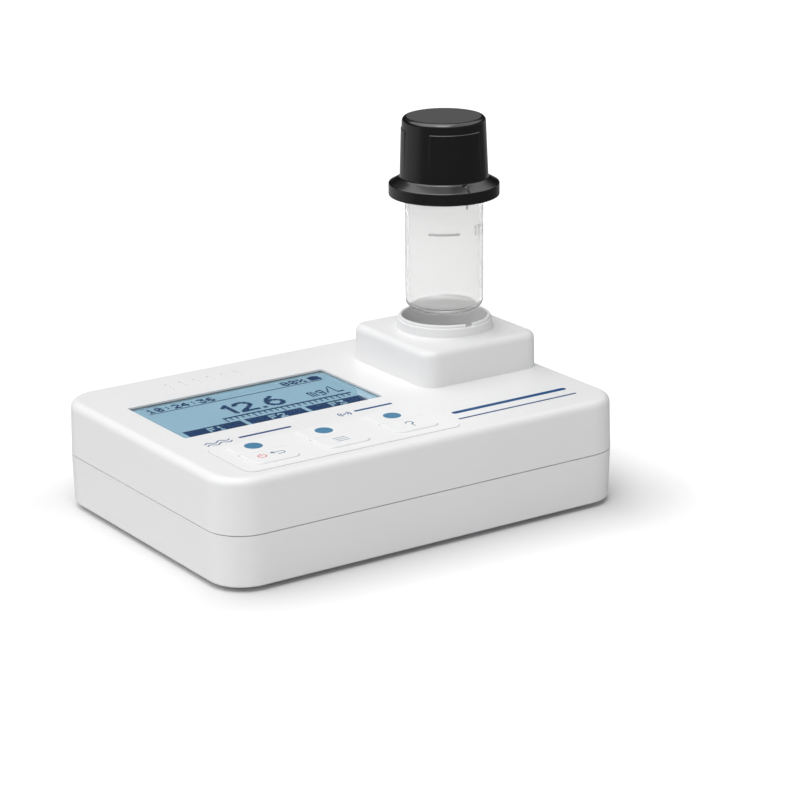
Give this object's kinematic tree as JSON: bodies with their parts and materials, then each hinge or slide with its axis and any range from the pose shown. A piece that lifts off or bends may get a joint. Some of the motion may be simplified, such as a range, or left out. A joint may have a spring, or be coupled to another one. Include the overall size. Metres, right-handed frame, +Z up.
{
  "type": "photometer",
  "caption": "Portable bench photometer: flat two-part case with display, embossed keys, a raised cuvette well and a capped glass cuvette that lifts out.",
  "frame": {"origin": "on the surface that the feet stand on, under the middle of the case", "axes": "+Z up, +X along the long side towards the cuvette well, -Y towards the user"},
  "size_m": [0.1424, 0.1024, 0.1141],
  "materials": {
    "case_white": "moulded white plastic, fine satin",
    "key_white": "embossed white keypad film",
    "overlay_white": "white keypad film",
    "window_clear": "clear polished plastic",
    "display_panel": "pale blue liquid crystal display",
    "backlight_white": "diffuser",
    "frame_dark": "matt",
    "board_green": "solder mask",
    "chip_black": "matt",
    "can_metal": "satin",
    "connector_cream": "matt",
    "membrane_white": "matt",
    "holder_black": "matt",
    "filter_tint": "coated",
    "lens_clear": "clear",
    "cable_amber": "flat film cable",
    "cell_sleeve": "plain printed sleeve",
    "contact_metal": "nickel plated",
    "lead_red": "insulated wire",
    "seal_grey": "soft rubber",
    "foot_rubber": "soft rubber",
    "screw_steel": "plain",
    "cuvette_glass": "clear optical glass",
    "stopper_white": "soft plastic",
    "cap_black": "satin black"
  },
  "bodies": {
    "case": {"upper_shell": "case_white", "lower_shell": "case_white", "case_gasket": "seal_grey", "case_screws": "screw_steel", "rubber_feet": "foot_rubber", "keypad_overlay": "overlay_white", "display_window": "window_clear", "lcd_glass": "display_panel", "lcd_backlight": "backlight_white", "display_frame": "frame_dark", "main_board": "board_green", "board_screws": "screw_steel", "key_switches": "chip_black", "board_chips": "chip_black", "board_capacitors": "can_metal", "board_connectors": "connector_cream", "radio_module": "can_metal", "sounder": "chip_black", "sounder_membrane": "membrane_white", "cuvette_holder": "holder_black", "holder_seal": "seal_grey", "holder_screws": "screw_steel", "light_filters": "filter_tint", "leds": "lens_clear", "emitter_boards": "board_green", "focus_lenses": "lens_clear", "photodiodes": "can_metal", "detector_boards": "board_green", "detector_cable": "cable_amber", "emitter_cable": "cable_amber", "battery_1": "cell_sleeve", "battery_2": "cell_sleeve", "battery_3": "cell_sleeve", "contact_plates": "contact_metal", "contact_springs": "contact_metal", "battery_leads": "lead_red"},
    "cuvette": {"cuvette_glass": "cuvette_glass"},
    "stopper": {"stopper": "stopper_white"},
    "cap": {"cap": "cap_black"},
    "battery_door": {"battery_door": "case_white", "door_gasket": "seal_grey"},
    "door_screw_1": {"door_screw_1": "screw_steel"},
    "door_screw_2": {"door_screw_2": "screw_steel"},
    "soft_key_1": {"soft_key_1": "key_white"},
    "soft_key_2": {"soft_key_2": "key_white"},
    "soft_key_3": {"soft_key_3": "key_white"},
    "power_key": {"power_key": "key_white"},
    "menu_key": {"menu_key": "key_white"},
    "help_key": {"help_key": "key_white"}
  },
  "joints": [
    {"name": "cuvette_lift", "type": "slide", "parent": "case", "child": "cuvette", "axis": [0, 0, 1], "range_m": [-0.04282, 0.03]},
    {"name": "cap_lift", "type": "slide", "parent": "cuvette", "child": "stopper", "axis": [0, 0, 1], "range_m": [0, 0.03]},
    {"name": "cap_turn", "type": "hinge", "parent": "stopper", "child": "cap", "pos_m": [0.0466, 0.0107, 0.1], "axis": [0, 0, 1], "range_deg": [0, 450]},
    {"name": "battery_door_lift", "type": "slide", "parent": "case", "child": "battery_door", "axis": [0, 0, -1], "range_m": [0, 0.02]},
    {"name": "door_screw_1_turn", "type": "hinge", "parent": "battery_door", "child": "door_screw_1", "pos_m": [-0.026, -0.03295, 0.003], "axis": [0, 0, -1], "continuous": true},
    {"name": "door_screw_2_turn", "type": "hinge", "parent": "battery_door", "child": "door_screw_2", "pos_m": [-0.026, 0.03295, 0.003], "axis": [0, 0, -1], "continuous": true},
    {"name": "soft_key_1_press", "type": "slide", "parent": "case", "child": "soft_key_1", "axis": [0, 0, -1], "range_m": [0, 0.0004], "stiffness_N_per_m": 1500},
    {"name": "soft_key_2_press", "type": "slide", "parent": "case", "child": "soft_key_2", "axis": [0, 0, -1], "range_m": [0, 0.0004], "stiffness_N_per_m": 1500},
    {"name": "soft_key_3_press", "type": "slide", "parent": "case", "child": "soft_key_3", "axis": [0, 0, -1], "range_m": [0, 0.0004], "stiffness_N_per_m": 1500},
    {"name": "power_key_press", "type": "slide", "parent": "case", "child": "power_key", "axis": [0, 0, -1], "range_m": [0, 0.0004], "stiffness_N_per_m": 1500},
    {"name": "menu_key_press", "type": "slide", "parent": "case", "child": "menu_key", "axis": [0, 0, -1], "range_m": [0, 0.0004], "stiffness_N_per_m": 1500},
    {"name": "help_key_press", "type": "slide", "parent": "case", "child": "help_key", "axis": [0, 0, -1], "range_m": [0, 0.0004], "stiffness_N_per_m": 1500}
  ]
}
